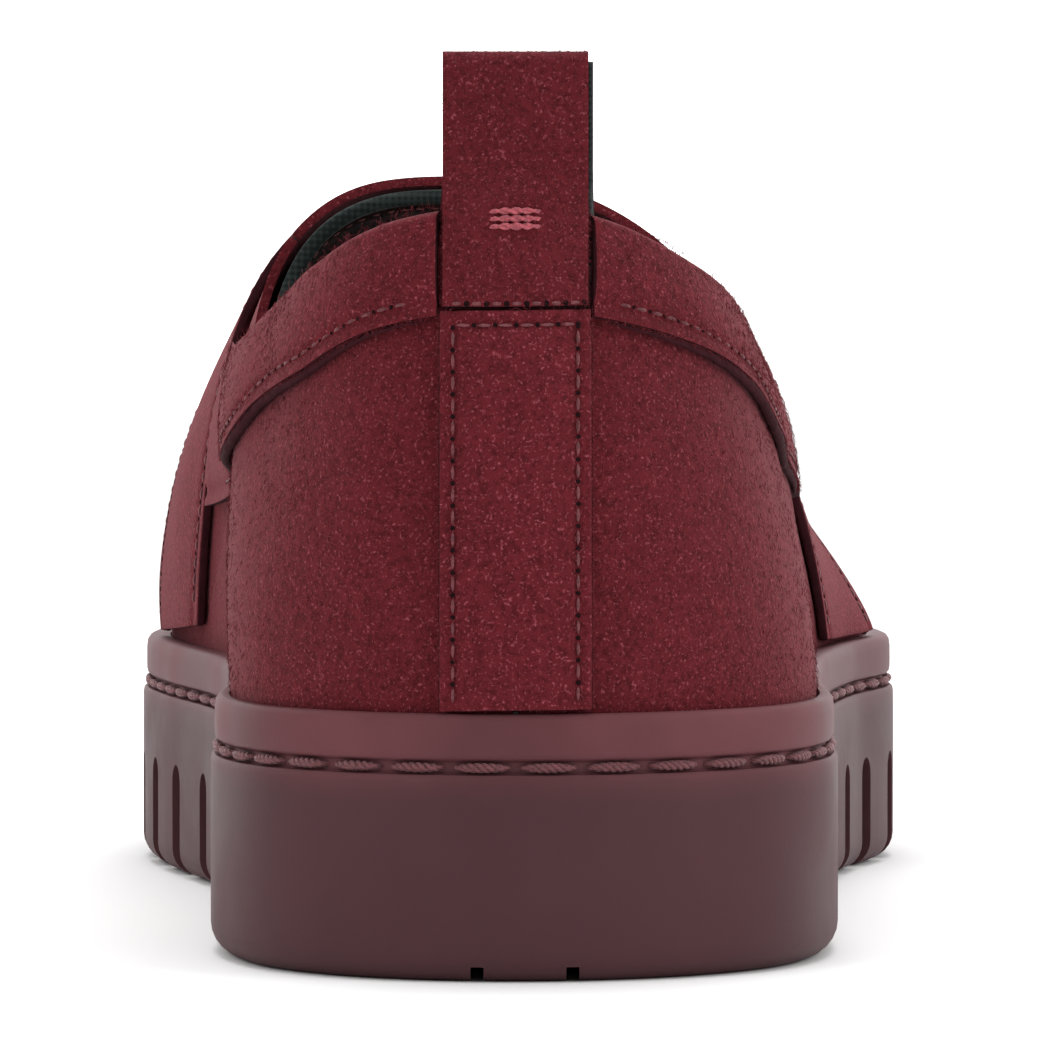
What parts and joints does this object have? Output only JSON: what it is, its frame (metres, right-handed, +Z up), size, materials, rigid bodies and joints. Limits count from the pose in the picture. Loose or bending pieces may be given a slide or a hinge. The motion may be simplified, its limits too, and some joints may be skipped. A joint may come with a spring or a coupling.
{
  "type": "penny loafer",
  "caption": "Right-foot suede penny loafer with a slotted saddle strap, sewn collar bands, a heel pull tab and a stitched platform cup sole.",
  "frame": {"origin": "on the floor under the middle of the overall box", "axes": "+Y towards the toe, +X towards the outer side of the right foot, +Z up"},
  "size_m": [0.1038, 0.272, 0.1068],
  "materials": {
    "sole_rubber": "matte, fine moulded grain",
    "midsole_foam": "closed-cell foam",
    "shank_steel": "plain",
    "insole_board": "pressed fibre board",
    "foam": "soft foam",
    "lining": "woven lining",
    "stiffener": "thermoplastic sheet",
    "suede": "suede nap",
    "suede_trim": "suede nap, raw cut edges",
    "binding": "woven tape",
    "sole_thread": "thick twisted thread",
    "upper_thread": "twisted thread",
    "tack_thread": "close stitches"
  },
  "bodies": {
    "shoe": {"cup_sole": "sole_rubber", "midsole_filler": "midsole_foam", "shank": "shank_steel", "insole_board": "insole_board", "footbed": "foam", "sock_lining": "lining", "sole_stitch": "sole_thread", "heel_lining": "lining", "vamp_lining": "lining", "heel_counter": "stiffener", "collar_foam": "foam", "toe_puff": "stiffener", "quarter_outer": "suede", "quarter_inner": "suede", "vamp": "suede", "vamp_plug": "suede", "moc_seam_thread": "upper_thread", "saddle_strap": "suede_trim", "collar_band_outer": "suede_trim", "collar_band_inner": "suede_trim", "backstay": "suede_trim", "throat_binding": "binding", "tab_outer_leg": "suede_trim", "tab_inner_leg": "suede_trim", "tab_bar_tack": "tack_thread"},
    "pull_tab": {"pull_tab": "suede_trim"}
  },
  "joints": [
    {"name": "pull_tab_flex", "type": "hinge", "parent": "shoe", "child": "pull_tab", "pos_m": [-0.00032, -0.12565, 0.09274], "axis": [1, 0, 0], "range_deg": [-75, 75], "stiffness_Nm_per_rad": 0.01}
  ]
}
